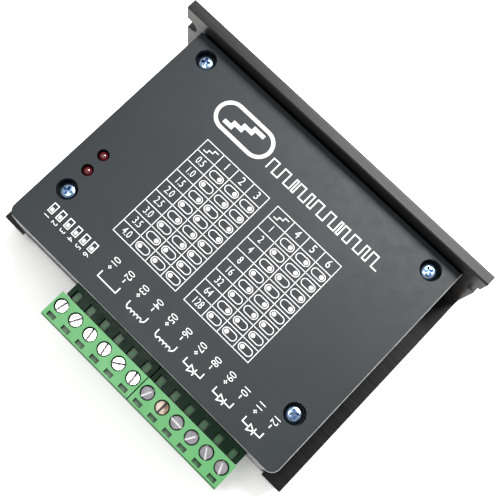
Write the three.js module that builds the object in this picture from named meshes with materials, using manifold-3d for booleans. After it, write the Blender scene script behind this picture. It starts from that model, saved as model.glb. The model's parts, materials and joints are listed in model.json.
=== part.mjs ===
// Two-phase stepper driver module: an L-shaped finned heat sink carries a circuit board under a box
// cover, with two pluggable six-way screw terminal blocks and a six-way setting switch along its front.
// Millimetres, +Z up out of the cover, +X along the terminals, +Y towards the mounting flange.
import * as THREE from "three";
import { mergeVertices } from "three/addons/utils/BufferGeometryUtils.js";
import Module from "manifold-3d";

const wasm = await Module();
wasm.setup();

// ---------- driving dimensions ----------
const GAP = 0.3; // clearance kept between pieces that touch

// Heat sink extrusion. Y = 0 is the front wall of the cover, Z = 0 the tips of the fins.
const SINK_LENGTH = 104.6;
const SINK_HEIGHT = 37;
const SINK_FRONT_Y = -0.8;
const FLANGE_INNER_Y = 70.1;
const FLANGE_THICKNESS = 3.1;
const FLANGE_EDGE_RADIUS = 0.5;
const BASE_TOP_Z = 12;
const BASE_THICKNESS = 3.5;
const BASE_FILLET = 2;
const FIN_COUNT = 9;
const FIN_THICKNESS = 1.7;
const FRONT_RECESS_HALF = 46; // the front edge is milled back between these two ends
const FRONT_RECESS_Y = 0.15;
const SLOT_WIDTH = 5;
const SLOT_DEPTH = 3.6;
const SLOT_CENTRE_Z = 28.5;
const TAPPED_RADIUS = 1.55;
const TAPPED_DEPTH = 2.7;

// Cover
const COVER_LENGTH = 93;
const COVER_DEPTH = 69.7;
const COVER_TOP_Z = 32;
const COVER_ROOF = 1.8;
const COVER_WALL = 1.6;
const COVER_CORNER = 2.6;
const COVER_EDGE = 0.5;
const POST_RADIUS = 4;
const POST_X = 40;
const POST_FRONT_Y = 14.6;
const POST_REAR_Y = 64.7;
const RECESS_RADIUS = 2.9;
const RECESS_FLOOR_Z = 28.4;
const SWITCH_WINDOW_LEFT = -43.3;
const SWITCH_WINDOW_TOP_Z = 24;
const BLOCK_WINDOW_TOP_Z = 25.2;
const BEYOND = 80; // far enough outside the module for a cutting tool

// Screws through the cover and the board: M2.5 pan heads
const SCREW_HEAD_RADIUS = 2.4;
const SCREW_SHANK_RADIUS = 1.2;
const COVER_HEAD_HEIGHT = 1.9;
const BOARD_HEAD_HEIGHT = 1.6;
const CROSS_REACH = 1.4; // from the middle of a head to the end of its cross recess
const CROSS_HALF_WIDTH = 0.36;

// Circuit board
const BOARD_BOTTOM_Z = 14.6;
const BOARD_TOP_Z = 16.2;
const BOARD_HALF = 43.5;
const BOARD_FRONT_Y = 2.2;
const BOARD_REAR_Y = 60.3;
const BOARD_FIXINGS = [
  [-33, 27],
  [33, 27],
  [0, 53],
];
const FRONT_TONGUE = { x0: -41, x1: 39, y: 0.4 }; // carries the switch and the headers
const REAR_TONGUE = { x0: -32, x1: 32, y: 67.4 }; // reaches under the driver chip
const SPACER_RADIUS = 2.6;
const PART_BOTTOM_Z = BOARD_TOP_Z + GAP;

// What the board carries
const CHIP = { half: 14.4, y0: 64.5, y1: 69, z0: 18, z1: 29.3 };
const CHIP_SCREW_X = 12.2;
const CHIP_SCREW_Z = 24.5;
const CHIP_LEAD = { count: 25, pitch: 1.1, width: 0.5, rows: [0.4, 2.2] };
const CAPACITOR = { radius: 5, top: 29.4, groove: 0.3, xs: [-22, -9], y: 43 };
const OPTOCOUPLER = { half: 3.2, halfLength: 4.8, lift: 0.6, height: 4, xs: [6, 18, 30], y: 15.5 };
const OPTOCOUPLER_LEG = { reach: 4, inside: 3, width: 0.5, height: 2.2, pitch: 2.54, count: 4 };

// Indicator lamps
const LED_X = -40;
const LED_YS = [21.7, 27.3];
const LED_RADIUS = 1.35;
const LED_TOP_Z = 31.7;
const LED_LENGTH = 5.2;
const LED_FLANGE = { radius: 1.8, height: 0.9 };
const LED_LEAD = { x: 0.8, half: 0.25 };

// Terminal blocks
const PITCH = 5.08;
const WAYS = 6;
const BLOCK_CENTRE_X = 8.3;
const BLOCK_WIDTH = WAYS * PITCH - 0.28;
const PLUG_FRONT_Y = -11.8;
const PLUG_REAR_Y = -4.1;
const PLUG_BOTTOM_Z = 15.4;
const PLUG_TOP_Z = 30;
const TERMINAL_Y = -6.9; // axis of the clamping screws
const PIN_Z = 19.6;
const PIN_SIDE = 1;
const PIN_TIP_Y = -2.8;
const HEADER = { y0: -3.9, y1: 7.8, z0: PART_BOTTOM_Z, z1: 24.8, cavityEnd: 4 };
const HEADER_KEY = { half: 1.1, depth: 2.6 };
const SOCKET = { half: 14, z0: 17.5, z1: 23.6 };
const CELL = { half: 2.2, y0: -9.3, y1: -4.6, z0: 16.6, z1: 26.3 };
const FUNNEL = { half: 1.8, z0: 16.9, z1: 20.6 }; // wire entry in the front face
const TEST_POCKET = { half: 1.25, y0: -10.95, y1: -9.7, depth: 1.2 }; // beside each screw
const PLUG_STEP = { width: 0.35, height: 0.5 }; // along the front edge of the top face
const HEAD = { radius: 1.65, z0: 27.9, z1: 29.2, bore: 1.95, shankBore: 1.6, shank: 1.25 };
const HEAD_SLOT = { half: 0.28, depth: 0.7, edge: 0.25 };
const CONTACT = { half: 1, z0: 20.5, z1: 21, y0: -8.4 };
const CAGE = { half: 1.85, y0: -8.9, y1: -4.9, z0: 16.9, z1: 22.4, floor: 0.8, roof: 1.1, side: 0.55 };
// Slot angles in degrees, as a hand leaves them: no two alike.
const SLOT_ANGLES = {
  motor: [78, 62, 100, 102, 35, 96],
  signal: [65, 88, -1, 55, 125, 112],
};

// Setting switch
const SWITCH_PITCH = 2.54;
const SWITCH_CENTRE_X = -32;
const SWITCH_SIZE = [17.2, 5.2, 9.4];
const SWITCH_FRONT_Y = 1.9; // just behind the cover's window
const SLIDER_TRAVEL = 2;
const SLIDER = { half: 0.6, height: 1.4, low: 19.6, proud: 0.3, inside: 1.45 };
const SLIDER_POCKET = { clearance: 0.35, depth: 1.8 };

const Y_SHIFT = -(PLUG_FRONT_Y + FLANGE_INNER_Y + FLANGE_THICKNESS) / 2;

// ---------- colours ----------
const BLACK_METAL = [0x2b2e31, 0.5, 0.55];
const COVER_BLACK = [0x34393c, 0.55, 0.1];
const ZINC = [0xa8bccd, 0.3, 0.9];
const NICKEL = [0xc9c6c4, 0.3, 0.9];
const GREEN = [0x49a457, 0.45, 0];
const BOARD_GREEN = [0x0d5a2e, 0.5, 0];
const CHIP_BLACK = [0x18191b, 0.6, 0];
const WHITE_PLASTIC = [0xe8e8e2, 0.5, 0];
const SWITCH_BLUE = [0x1d4fa8, 0.5, 0];
const LED_RED = [0x7c1c22, 0.25, 0];
const PAD_GREY = [0x9aa0a4, 0.8, 0];
const ALUMINIUM = [0xb6b9bb, 0.4, 0.8];

// ---------- solids ----------
function solidOf(geometry) {
  const bare = geometry.clone();
  bare.deleteAttribute("normal");
  bare.deleteAttribute("uv");
  const merged = mergeVertices(bare, 1e-4);
  return new wasm.Manifold(
    new wasm.Mesh({
      numProp: 3,
      vertProperties: new Float32Array(merged.attributes.position.array),
      triVerts: new Uint32Array(merged.index.array),
    }),
  );
}

function geometryOf(solid) {
  const mesh = solid.getMesh();
  const geometry = new THREE.BufferGeometry();
  geometry.setAttribute(
    "position",
    new THREE.BufferAttribute(new Float32Array(mesh.vertProperties), 3),
  );
  geometry.setIndex(new THREE.BufferAttribute(new Uint32Array(mesh.triVerts), 1));
  geometry.computeVertexNormals();
  return geometry;
}

// A box from its lowest to its highest corner.
function box([x0, y0, z0], [x1, y1, z1]) {
  const geometry = new THREE.BoxGeometry(x1 - x0, y1 - y0, z1 - z0);
  geometry.translate((x0 + x1) / 2, (y0 + y1) / 2, (z0 + z1) / 2);
  return solidOf(geometry);
}

// A solid of revolution about the vertical line at (x, y), from a profile of [radius, z] points.
function turned(profile, segments = 24, x = 0, y = 0) {
  const points = profile.map(([radius, z]) => new THREE.Vector2(radius, z));
  const geometry = new THREE.LatheGeometry(points, segments);
  geometry.rotateX(Math.PI / 2);
  geometry.translate(x, y, 0);
  return solidOf(geometry);
}

function post(radius, z0, z1, x = 0, y = 0, segments = 24) {
  const profile = [
    [0, z0],
    [radius, z0],
    [radius, z1],
    [0, z1],
  ];
  return turned(profile, segments, x, y);
}

// A closed outline in X and Y, extruded from z0 to z1.
function prism(points, z0, z1) {
  const shape = new THREE.Shape(points.map(([x, y]) => new THREE.Vector2(x, y)));
  const geometry = new THREE.ExtrudeGeometry(shape, { depth: z1 - z0, bevelEnabled: false });
  geometry.translate(0, 0, z0);
  return solidOf(geometry);
}

// An outline in Y and Z, extruded along X and centred on X = 0.
function rail(shape, length) {
  const geometry = new THREE.ExtrudeGeometry(shape, {
    depth: length,
    bevelEnabled: false,
    curveSegments: 4,
  });
  geometry.translate(0, 0, -length / 2);
  const basis = new THREE.Matrix4().makeBasis(
    new THREE.Vector3(0, 1, 0),
    new THREE.Vector3(0, 0, 1),
    new THREE.Vector3(1, 0, 0),
  );
  geometry.applyMatrix4(basis);
  return solidOf(geometry);
}

function joined(solids) {
  return solids.reduce((whole, piece) => whole.add(piece));
}

function cut(solid, tools) {
  return tools.reduce((rest, tool) => rest.subtract(tool), solid);
}

function piece(name, solid, [color, roughness, metalness]) {
  const material = new THREE.MeshStandardMaterial({ color, roughness, metalness });
  const mesh = new THREE.Mesh(geometryOf(solid), material);
  mesh.name = name;
  return mesh;
}

function group(children, x = 0, y = 0, z = 0) {
  const made = new THREE.Group();
  made.position.set(x, y, z);
  made.add(...children);
  return made;
}

// Positions of evenly spaced items centred on zero.
function spread(count, pitch) {
  return Array.from({ length: count }, (_, i) => (i - (count - 1) / 2) * pitch);
}

// ---------- heat sink ----------
function sinkProfile() {
  const base = BASE_TOP_Z - BASE_THICKNESS;
  const back = FLANGE_INNER_Y + FLANGE_THICKNESS;
  const r = FLANGE_EDGE_RADIUS;
  const pitch = (FLANGE_INNER_Y - FRONT_RECESS_Y) / FIN_COUNT;
  const shape = new THREE.Shape();
  shape.moveTo(SINK_FRONT_Y, base);
  for (let i = 0; i < FIN_COUNT; i++) {
    const y = FRONT_RECESS_Y + i * pitch;
    shape.lineTo(y, base);
    shape.lineTo(y, 0);
    shape.lineTo(y + FIN_THICKNESS, 0);
    shape.lineTo(y + FIN_THICKNESS, base);
  }
  shape.lineTo(FLANGE_INNER_Y, base);
  shape.lineTo(FLANGE_INNER_Y, 0);
  shape.lineTo(back, 0);
  shape.lineTo(back, SINK_HEIGHT - r);
  shape.absarc(back - r, SINK_HEIGHT - r, r, 0, Math.PI / 2, false);
  shape.lineTo(FLANGE_INNER_Y + r, SINK_HEIGHT);
  shape.absarc(FLANGE_INNER_Y + r, SINK_HEIGHT - r, r, Math.PI / 2, Math.PI, false);
  shape.lineTo(FLANGE_INNER_Y, BASE_TOP_Z + BASE_FILLET);
  const fillet = [FLANGE_INNER_Y - BASE_FILLET, BASE_TOP_Z + BASE_FILLET];
  shape.absarc(...fillet, BASE_FILLET, 0, -Math.PI / 2, true);
  shape.lineTo(SINK_FRONT_Y, BASE_TOP_Z);
  return shape;
}

// The open-ended mounting slot in one end of the flange; side is -1 or 1.
function flangeSlot(side) {
  const end = (side * SINK_LENGTH) / 2;
  const radius = SLOT_WIDTH / 2;
  const centre = end - side * (SLOT_DEPTH - radius);
  const y0 = FLANGE_INNER_Y - 1;
  const y1 = FLANGE_INNER_Y + FLANGE_THICKNESS + 1;
  const round = new THREE.CylinderGeometry(radius, radius, y1 - y0, 24);
  round.translate(centre, (y0 + y1) / 2, SLOT_CENTRE_Z);
  const xs = [centre, end + side].sort((a, b) => a - b);
  const mouth = box([xs[0], y0, SLOT_CENTRE_Z - radius], [xs[1], y1, SLOT_CENTRE_Z + radius]);
  return solidOf(round).add(mouth);
}

// A cylinder along Y.
function crossPost(radius, y0, y1, x, z, segments = 16) {
  const geometry = new THREE.CylinderGeometry(radius, radius, y1 - y0, segments);
  geometry.translate(x, (y0 + y1) / 2, z);
  return solidOf(geometry);
}

function makeSink() {
  const coverFixings = [-POST_X, POST_X].flatMap((x) => [
    [x, POST_FRONT_Y],
    [x, POST_REAR_Y],
  ]);
  const tapped = [...coverFixings, ...BOARD_FIXINGS].map(([x, y]) =>
    post(TAPPED_RADIUS, BASE_TOP_Z - TAPPED_DEPTH, BASE_TOP_Z + 1, x, y, 16),
  );
  const chipHoles = [-CHIP_SCREW_X, CHIP_SCREW_X].map((x) =>
    crossPost(TAPPED_RADIUS, FLANGE_INNER_Y - 1, FLANGE_INNER_Y + TAPPED_DEPTH, x, CHIP_SCREW_Z),
  );
  const recess = box(
    [-FRONT_RECESS_HALF, SINK_FRONT_Y - 1, -1],
    [FRONT_RECESS_HALF, FRONT_RECESS_Y, BASE_TOP_Z + 1],
  );
  const tools = [recess, flangeSlot(-1), flangeSlot(1), ...tapped, ...chipHoles];
  return piece("heatsink", cut(rail(sinkProfile(), SINK_LENGTH), tools), BLACK_METAL);
}

// ---------- cover ----------
// Outline of the cover in X and Y, drawn in by an inset; its two front corners are round.
function coverOutline(inset) {
  const half = COVER_LENGTH / 2 - inset;
  const front = inset;
  const r = COVER_CORNER - inset;
  const rear = inset ? COVER_DEPTH + 1 : COVER_DEPTH;
  const shape = new THREE.Shape();
  shape.moveTo(half, rear);
  shape.lineTo(-half, rear);
  shape.lineTo(-half, front + r);
  shape.absarc(-half + r, front + r, r, Math.PI, 1.5 * Math.PI, false);
  shape.lineTo(half - r, front);
  shape.absarc(half - r, front + r, r, 1.5 * Math.PI, 2 * Math.PI, false);
  return shape;
}

// The shell of the cover, with its roof edge rounded over by the bevel of the extrusion.
function coverShell() {
  const bottom = BASE_TOP_Z + GAP;
  const outer = new THREE.ExtrudeGeometry(coverOutline(0), {
    depth: COVER_TOP_Z - bottom - COVER_EDGE,
    bevelThickness: COVER_EDGE,
    bevelSize: COVER_EDGE,
    bevelOffset: -COVER_EDGE,
    bevelSegments: 3,
    curveSegments: 6,
  });
  outer.translate(0, 0, bottom);
  const inner = new THREE.ExtrudeGeometry(coverOutline(COVER_WALL), {
    depth: COVER_TOP_Z - COVER_ROOF,
    bevelEnabled: false,
    curveSegments: 4,
  });
  const below = box([-BEYOND, -BEYOND, bottom - 5], [BEYOND, BEYOND, bottom]);
  return cut(solidOf(outer), [below, solidOf(inner)]);
}

function makeCover() {
  const roof = COVER_TOP_Z - COVER_ROOF;
  const bottom = BASE_TOP_Z + GAP;
  const places = [-POST_X, POST_X].flatMap((x) => [
    [x, POST_FRONT_Y],
    [x, POST_REAR_Y],
  ]);
  const posts = places.map(([x, y]) => post(POST_RADIUS, bottom, roof + 0.5, x, y));
  const bores = places.map(([x, y]) => {
    const profile = [
      [0, bottom - 1],
      [TAPPED_RADIUS, bottom - 1],
      [TAPPED_RADIUS, RECESS_FLOOR_Z],
      [RECESS_RADIUS, RECESS_FLOOR_Z],
      [RECESS_RADIUS, COVER_TOP_Z + 1],
      [0, COVER_TOP_Z + 1],
    ];
    return turned(profile, 24, x, y);
  });
  const lampHoles = LED_YS.map((y) => post(LED_RADIUS + GAP, roof - 1, COVER_TOP_Z + 1, LED_X, y));
  const blockEdge = BLOCK_CENTRE_X - WAYS * PITCH;
  const switchWindow = box(
    [SWITCH_WINDOW_LEFT, -1, bottom - 1],
    [blockEdge - 0.5, COVER_WALL + 1, SWITCH_WINDOW_TOP_Z],
  );
  const blockWindow = box(
    [blockEdge - 0.6, -1, bottom - 1],
    [BLOCK_CENTRE_X + WAYS * PITCH + 0.4, COVER_WALL + 1, BLOCK_WINDOW_TOP_Z],
  );
  const filletRelief = box(
    [-BEYOND, FLANGE_INNER_Y - BASE_FILLET - 0.5, bottom - 1],
    [BEYOND, BEYOND, BASE_TOP_Z + BASE_FILLET + GAP],
  );
  const body = joined([coverShell(), ...posts]);
  const tools = [...bores, ...lampHoles, switchWindow, blockWindow, filletRelief];
  return piece("cover", cut(body, tools), COVER_BLACK);
}

// A pan head screw standing along Z with a cross recess: its head sits on headZ, its tip is at tipZ.
function panScrew(headZ, headHeight, tipZ) {
  const profile = [
    [0, tipZ],
    [SCREW_SHANK_RADIUS, tipZ],
    [SCREW_SHANK_RADIUS, headZ],
    [SCREW_HEAD_RADIUS, headZ],
    [SCREW_HEAD_RADIUS, headZ + headHeight * 0.5],
    [SCREW_HEAD_RADIUS * 0.86, headZ + headHeight * 0.85],
    [SCREW_HEAD_RADIUS * 0.5, headZ + headHeight],
    [0, headZ + headHeight],
  ];
  const top = headZ + headHeight + 1;
  const floor = headZ + headHeight * 0.35;
  const cross = joined([
    box([-CROSS_REACH, -CROSS_HALF_WIDTH, floor], [CROSS_REACH, CROSS_HALF_WIDTH, top]),
    box([-CROSS_HALF_WIDTH, -CROSS_REACH, floor], [CROSS_HALF_WIDTH, CROSS_REACH, top]),
  ]);
  return cut(turned(profile, 16), [cross]);
}

function makeCoverScrews() {
  const tip = BASE_TOP_Z - TAPPED_DEPTH + GAP;
  const names = ["front_left", "front_right", "rear_left", "rear_right"];
  return names.map((name, i) => {
    const headZ = RECESS_FLOOR_Z + GAP;
    const screw = piece("cover_screw_" + name, panScrew(headZ, COVER_HEAD_HEIGHT, tip), ZINC);
    screw.position.set(i % 2 ? POST_X : -POST_X, i < 2 ? POST_FRONT_Y : POST_REAR_Y, 0);
    return screw;
  });
}

// ---------- circuit board and what it carries ----------
function makeBoard() {
  const outline = [
    [-BOARD_HALF, BOARD_FRONT_Y],
    [FRONT_TONGUE.x0, BOARD_FRONT_Y],
    [FRONT_TONGUE.x0, FRONT_TONGUE.y],
    [FRONT_TONGUE.x1, FRONT_TONGUE.y],
    [FRONT_TONGUE.x1, BOARD_FRONT_Y],
    [BOARD_HALF, BOARD_FRONT_Y],
    [BOARD_HALF, BOARD_REAR_Y],
    [REAR_TONGUE.x1, BOARD_REAR_Y],
    [REAR_TONGUE.x1, REAR_TONGUE.y],
    [REAR_TONGUE.x0, REAR_TONGUE.y],
    [REAR_TONGUE.x0, BOARD_REAR_Y],
    [-BOARD_HALF, BOARD_REAR_Y],
  ];
  const low = BOARD_BOTTOM_Z - 1;
  const high = BOARD_TOP_Z + 1;
  const notches = [-POST_X, POST_X].map((x) => post(POST_RADIUS + 0.5, low, high, x, POST_FRONT_Y));
  const holes = BOARD_FIXINGS.map(([x, y]) => post(TAPPED_RADIUS, low, high, x, y, 16));
  const board = prism(outline, BOARD_BOTTOM_Z, BOARD_TOP_Z);
  return piece("circuit_board", cut(board, [...notches, ...holes]), BOARD_GREEN);
}

function makeBoardFixings() {
  const low = BASE_TOP_Z + GAP;
  const high = BOARD_BOTTOM_Z - GAP;
  const names = ["left", "right", "rear"];
  return BOARD_FIXINGS.flatMap(([x, y], i) => {
    const bore = post(TAPPED_RADIUS, low - 1, high + 1, 0, 0, 16);
    const ring = cut(post(SPACER_RADIUS, low, high, 0, 0, 6), [bore]);
    const spacer = piece("board_spacer_" + names[i], ring, ALUMINIUM);
    const tip = BASE_TOP_Z - TAPPED_DEPTH + GAP;
    const screw = piece("board_screw_" + names[i], panScrew(PART_BOTTOM_Z, BOARD_HEAD_HEIGHT, tip), ZINC);
    spacer.position.set(x, y, 0);
    screw.position.set(x, y, 0);
    return [spacer, screw];
  });
}

function chipBores(y0, y1) {
  return [-CHIP_SCREW_X, CHIP_SCREW_X].map((x) => crossPost(TAPPED_RADIUS, y0, y1, x, CHIP_SCREW_Z));
}

// Power chip on edge, its back against the flange, with two staggered rows of leads.
function makeDriverChip() {
  const body = box([-CHIP.half, CHIP.y0, CHIP.z0], [CHIP.half, CHIP.y1, CHIP.z1]);
  const half = CHIP_LEAD.width / 2;
  const leads = spread(CHIP_LEAD.count, CHIP_LEAD.pitch).map((x, i) => {
    const y = CHIP.y0 + CHIP_LEAD.rows[(i + 1) % 2];
    return box([x - half, y, PART_BOTTOM_Z], [x + half, y + CHIP_LEAD.width, CHIP.z0 + 0.2]);
  });
  const solid = cut(joined([body, ...leads]), chipBores(CHIP.y0 - 1, CHIP.y1 + 1));
  return piece("driver_chip", solid, CHIP_BLACK);
}

function makeThermalPad() {
  const y0 = CHIP.y1 + GAP;
  const y1 = FLANGE_INNER_Y - GAP;
  const sheet = box([-CHIP.half - 0.5, y0, CHIP.z0], [CHIP.half + 0.5, y1, CHIP.z1 + 0.3]);
  return piece("thermal_pad", cut(sheet, chipBores(y0 - 1, y1 + 1)), PAD_GREY);
}

function makeChipScrews() {
  const length = FLANGE_INNER_Y + TAPPED_DEPTH - GAP - (CHIP.y0 - GAP);
  return ["left", "right"].map((name, i) => {
    const screw = piece("chip_screw_" + name, panScrew(0, BOARD_HEAD_HEIGHT, -length), ZINC);
    screw.rotation.x = Math.PI / 2;
    screw.position.set(i ? CHIP_SCREW_X : -CHIP_SCREW_X, CHIP.y0 - GAP, CHIP_SCREW_Z);
    return screw;
  });
}

function makeCapacitors() {
  const { radius, top, groove } = CAPACITOR;
  const grooveZ = PART_BOTTOM_Z + 1.9;
  const can = [
    [0, PART_BOTTOM_Z],
    [radius, PART_BOTTOM_Z],
    [radius, grooveZ - groove],
    [radius - groove, grooveZ],
    [radius, grooveZ + groove],
    [radius, top - 0.4],
    [radius - 0.4, top],
    [0, top],
  ];
  return ["left", "right"].map((name, i) => {
    const made = piece("capacitor_" + name, turned(can, 24), CHIP_BLACK);
    made.position.set(CAPACITOR.xs[i], CAPACITOR.y, 0);
    return made;
  });
}

function makeOptocouplers() {
  const { half, halfLength, lift, height, xs, y } = OPTOCOUPLER;
  const { reach, inside, width, pitch, count } = OPTOCOUPLER_LEG;
  const legTop = PART_BOTTOM_Z + OPTOCOUPLER_LEG.height;
  return ["enable", "pulse", "direction"].map((name, i) => {
    const body = box(
      [-half, -halfLength, PART_BOTTOM_Z + lift],
      [half, halfLength, PART_BOTTOM_Z + height],
    );
    const legs = spread(count, pitch).flatMap((along) => [
      box([-reach, along - width / 2, PART_BOTTOM_Z], [-inside, along + width / 2, legTop]),
      box([inside, along - width / 2, PART_BOTTOM_Z], [reach, along + width / 2, legTop]),
    ]);
    const made = piece("optocoupler_" + name, joined([body, ...legs]), CHIP_BLACK);
    made.position.set(xs[i], y, 0);
    return made;
  });
}

// Round-topped lamp on two stiff leads that reach down to the board.
function makeLamps() {
  const body = LED_TOP_Z - LED_LENGTH;
  const rim = body + LED_FLANGE.height;
  const shoulder = LED_TOP_Z - LED_RADIUS;
  const dome = Array.from({ length: 4 }, (_, i) => {
    const angle = (i / 4) * (Math.PI / 2);
    return [LED_RADIUS * Math.cos(angle), shoulder + LED_RADIUS * Math.sin(angle)];
  });
  const profile = [
    [0, body],
    [LED_FLANGE.radius, body],
    [LED_FLANGE.radius, rim],
    [LED_RADIUS, rim],
    ...dome,
    [0, LED_TOP_Z],
  ];
  return ["power", "alarm"].map((name, i) => {
    const { half } = LED_LEAD;
    const leads = [-LED_LEAD.x, LED_LEAD.x].map((x) =>
      box([x - half, -half, PART_BOTTOM_Z], [x + half, half, body + 0.2]),
    );
    const made = piece("lamp_" + name, joined([turned(profile, 20), ...leads]), LED_RED);
    made.position.set(LED_X, LED_YS[i], 0);
    return made;
  });
}

// ---------- setting switch ----------
function makeSwitch() {
  const [width, depth, height] = SWITCH_SIZE;
  const body = box([-width / 2, 0, 0], [width / 2, depth, height]);
  const { clearance } = SLIDER_POCKET;
  const pocketLow = SLIDER.low - PART_BOTTOM_Z - clearance;
  const pocketHigh = pocketLow + SLIDER.height + SLIDER_TRAVEL + 2 * clearance;
  const side = SLIDER.half + clearance;
  const pockets = spread(WAYS, SWITCH_PITCH).map((x) =>
    box([x - side, -1, pocketLow], [x + side, SLIDER_POCKET.depth, pocketHigh]),
  );
  const housing = piece("setting_switch", cut(body, pockets), SWITCH_BLUE);
  housing.position.set(SWITCH_CENTRE_X, SWITCH_FRONT_Y, PART_BOTTOM_Z);
  const sliders = spread(WAYS, SWITCH_PITCH).map((x, i) => {
    const lever = box([-SLIDER.half, -SLIDER.proud, 0], [SLIDER.half, SLIDER.inside, SLIDER.height]);
    const made = piece("switch_slider_" + (i + 1), lever, WHITE_PLASTIC);
    made.position.set(SWITCH_CENTRE_X + x, SWITCH_FRONT_Y, SLIDER.low);
    return made;
  });
  return [housing, ...sliders];
}

// ---------- terminal blocks ----------
// Board header: a shroud open to the front, with one square pin for each way.
function makeHeader(name) {
  const half = BLOCK_WIDTH / 2;
  const shroud = box([-half, HEADER.y0, HEADER.z0], [half, HEADER.y1, HEADER.z1]);
  const cavity = box(
    [-SOCKET.half, HEADER.y0 - 1, SOCKET.z0],
    [SOCKET.half, HEADER.cavityEnd, SOCKET.z1],
  );
  const keys = spread(WAYS, PITCH).map((x) =>
    box(
      [x - HEADER_KEY.half, HEADER.y0 - 1, SOCKET.z1 - 1],
      [x + HEADER_KEY.half, HEADER.y0 + HEADER_KEY.depth, HEADER.z1 + 1],
    ),
  );
  const pins = spread(WAYS, PITCH).map((x) =>
    box(
      [x - PIN_SIDE / 2, PIN_TIP_Y, PIN_Z - PIN_SIDE / 2],
      [x + PIN_SIDE / 2, HEADER.cavityEnd + 0.5, PIN_Z + PIN_SIDE / 2],
    ),
  );
  return piece(name, joined([cut(shroud, [cavity, ...keys]), ...pins]), GREEN);
}

// Everything taken out of the plug at one way: screw bore, cell, wire funnel, pin socket, test pocket.
function wayCuts(x) {
  const bore = [
    [0, CELL.z1 - 1],
    [HEAD.shankBore, CELL.z1 - 1],
    [HEAD.shankBore, HEAD.z0 - GAP],
    [HEAD.bore, HEAD.z0 - GAP],
    [HEAD.bore, PLUG_TOP_Z + 1],
    [0, PLUG_TOP_Z + 1],
  ];
  const pinHole = PIN_SIDE / 2 + 0.4;
  return [
    turned(bore, 24, x, TERMINAL_Y),
    box([x - CELL.half, CELL.y0, CELL.z0], [x + CELL.half, CELL.y1, CELL.z1]),
    box(
      [x - FUNNEL.half, PLUG_FRONT_Y - 1, FUNNEL.z0],
      [x + FUNNEL.half, CELL.y0 + 0.5, FUNNEL.z1],
    ),
    box(
      [x - pinHole, CELL.y1 - 0.5, PIN_Z - pinHole],
      [x + pinHole, HEADER.cavityEnd + 1, PIN_Z + pinHole],
    ),
    box(
      [x - TEST_POCKET.half, TEST_POCKET.y0, PLUG_TOP_Z - TEST_POCKET.depth],
      [x + TEST_POCKET.half, TEST_POCKET.y1, PLUG_TOP_Z + 1],
    ),
  ];
}

// The flat metal tongue that each clamp presses its wire against, fixed in the plug.
function contactTongue(x) {
  return box([x - CONTACT.half, CONTACT.y0, CONTACT.z0], [x + CONTACT.half, CELL.y1 + 0.4, CONTACT.z1]);
}

function makePlug(name) {
  const half = BLOCK_WIDTH / 2;
  const block = box([-half, PLUG_FRONT_Y, PLUG_BOTTOM_Z], [half, PLUG_REAR_Y, PLUG_TOP_Z]);
  const nose = box(
    [-SOCKET.half + GAP, PLUG_REAR_Y - 0.5, SOCKET.z0 + GAP],
    [SOCKET.half - GAP, HEADER.cavityEnd - 0.5, SOCKET.z1 - GAP],
  );
  const step = box(
    [-half - 1, PLUG_FRONT_Y - 1, PLUG_TOP_Z - PLUG_STEP.height],
    [half + 1, PLUG_FRONT_Y + PLUG_STEP.width, PLUG_TOP_Z + 1],
  );
  const ways = spread(WAYS, PITCH);
  const body = cut(joined([block, nose]), [step, ...ways.flatMap(wayCuts)]);
  return piece(name, joined([body, ...ways.map(contactTongue)]), GREEN);
}

// Slotted clamping screw; its slot is turned by the given angle.
function makeTerminalScrew(name, angle) {
  const profile = [
    [0, CONTACT.z1 + GAP],
    [HEAD.shank, CONTACT.z1 + GAP],
    [HEAD.shank, HEAD.z0],
    [HEAD.radius, HEAD.z0],
    [HEAD.radius, HEAD.z1 - HEAD_SLOT.edge],
    [HEAD.radius - HEAD_SLOT.edge, HEAD.z1],
    [0, HEAD.z1],
  ];
  const slot = box(
    [-HEAD.radius - 1, -HEAD_SLOT.half, HEAD.z1 - HEAD_SLOT.depth],
    [HEAD.radius + 1, HEAD_SLOT.half, HEAD.z1 + 1],
  );
  const screw = piece(name, cut(turned(profile, 16), [slot]), NICKEL);
  screw.rotation.z = angle;
  return screw;
}

// Rising cage that lifts the wire against the tongue when its screw is tightened.
function makeCage(name) {
  const cage = box([-CAGE.half, CAGE.y0, CAGE.z0], [CAGE.half, CAGE.y1, CAGE.z1]);
  const inside = CAGE.half - CAGE.side;
  const window = box(
    [-inside, CAGE.y0 - 1, CAGE.z0 + CAGE.floor],
    [inside, CAGE.y1 + 1, CAGE.z1 - CAGE.roof],
  );
  const bore = post(HEAD.shank + 0.3, CAGE.z1 - CAGE.roof - 0.5, CAGE.z1 + 1, 0, TERMINAL_Y, 16);
  return piece(name, cut(cage, [window, bore]), NICKEL);
}

function makeTerminalBlock(side, index) {
  const centre = BLOCK_CENTRE_X + (index - 0.5) * WAYS * PITCH;
  const fittings = spread(WAYS, PITCH).flatMap((x, i) => {
    const angle = THREE.MathUtils.degToRad(SLOT_ANGLES[side][i]);
    const screw = makeTerminalScrew(`${side}_terminal_screw_${i + 1}`, angle);
    const cage = makeCage(`${side}_wire_clamp_${i + 1}`);
    screw.position.set(x, TERMINAL_Y, 0);
    cage.position.set(x, 0, 0);
    return [screw, cage];
  });
  const plug = group([makePlug(`${side}_terminal_plug`), ...fittings]);
  return group([makeHeader(`${side}_terminal_header`), plug], centre);
}

// ---------- assembly ----------
const chassis = group([makeSink(), makeCover(), ...makeCoverScrews()]);
const electronics = group([
  makeBoard(),
  ...makeBoardFixings(),
  makeDriverChip(),
  makeThermalPad(),
  ...makeChipScrews(),
  ...makeCapacitors(),
  ...makeOptocouplers(),
  ...makeLamps(),
  ...makeSwitch(),
]);
const blocks = group(["motor", "signal"].map(makeTerminalBlock));

export default group([chassis, electronics, blocks], 0, Y_SHIFT, 0);
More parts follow.
